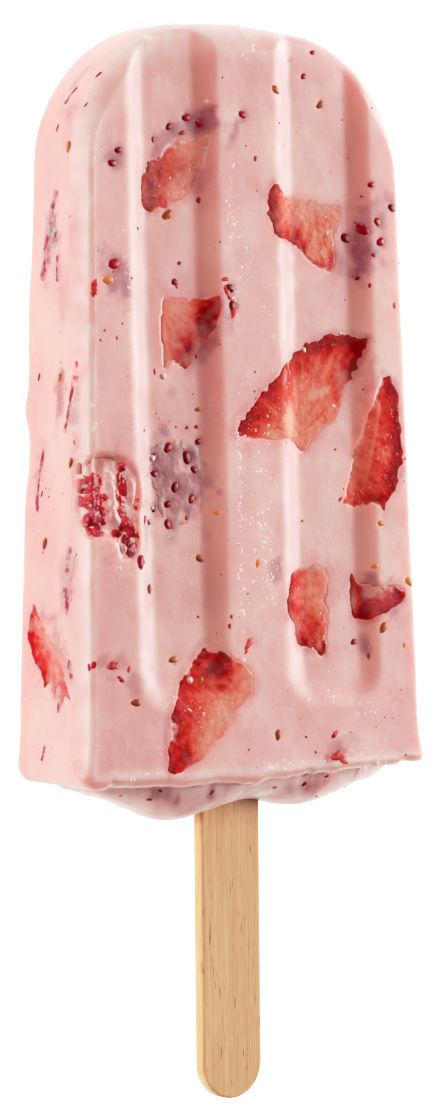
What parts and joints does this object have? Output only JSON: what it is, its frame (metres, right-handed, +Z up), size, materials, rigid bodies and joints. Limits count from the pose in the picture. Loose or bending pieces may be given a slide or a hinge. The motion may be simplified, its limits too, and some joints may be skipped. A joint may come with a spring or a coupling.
{
  "type": "ice lolly",
  "caption": "Moulded strawberry yoghurt ice lolly with long flutes, frozen fruit slices set in its face and a flat wooden stick.",
  "frame": {"origin": "middle of the footprint, on the surface the lolly lies on", "axes": "+X across the lolly, +Y from the stick towards the tip, +Z up out of the fruit side"},
  "size_m": [0.0584, 0.1486, 0.0173],
  "materials": {
    "yoghurt_ice": "smooth, softly wet, fine frost",
    "strawberry_flesh": "wet cut fruit",
    "strawberry_skin": "wet, seen through a thin coat of frozen yoghurt",
    "seed": "dull",
    "wood": "plain planed birch"
  },
  "bodies": {
    "root": {"ice_block": "yoghurt_ice", "stick": "wood", "berry_slice_upper_left": "strawberry_flesh", "berry_slice_upper_right": "strawberry_flesh", "berry_wedge_middle": "strawberry_flesh", "berry_fan_centre": "strawberry_flesh", "berry_slice_right": "strawberry_flesh", "berry_chunk_left": "strawberry_flesh", "berry_slice_lower_right": "strawberry_flesh", "berry_bit_right": "strawberry_flesh", "berry_slice_base": "strawberry_flesh", "berry_slice_side": "strawberry_flesh", "berry_skin_patch": "strawberry_skin"}
  },
  "joints": []
}
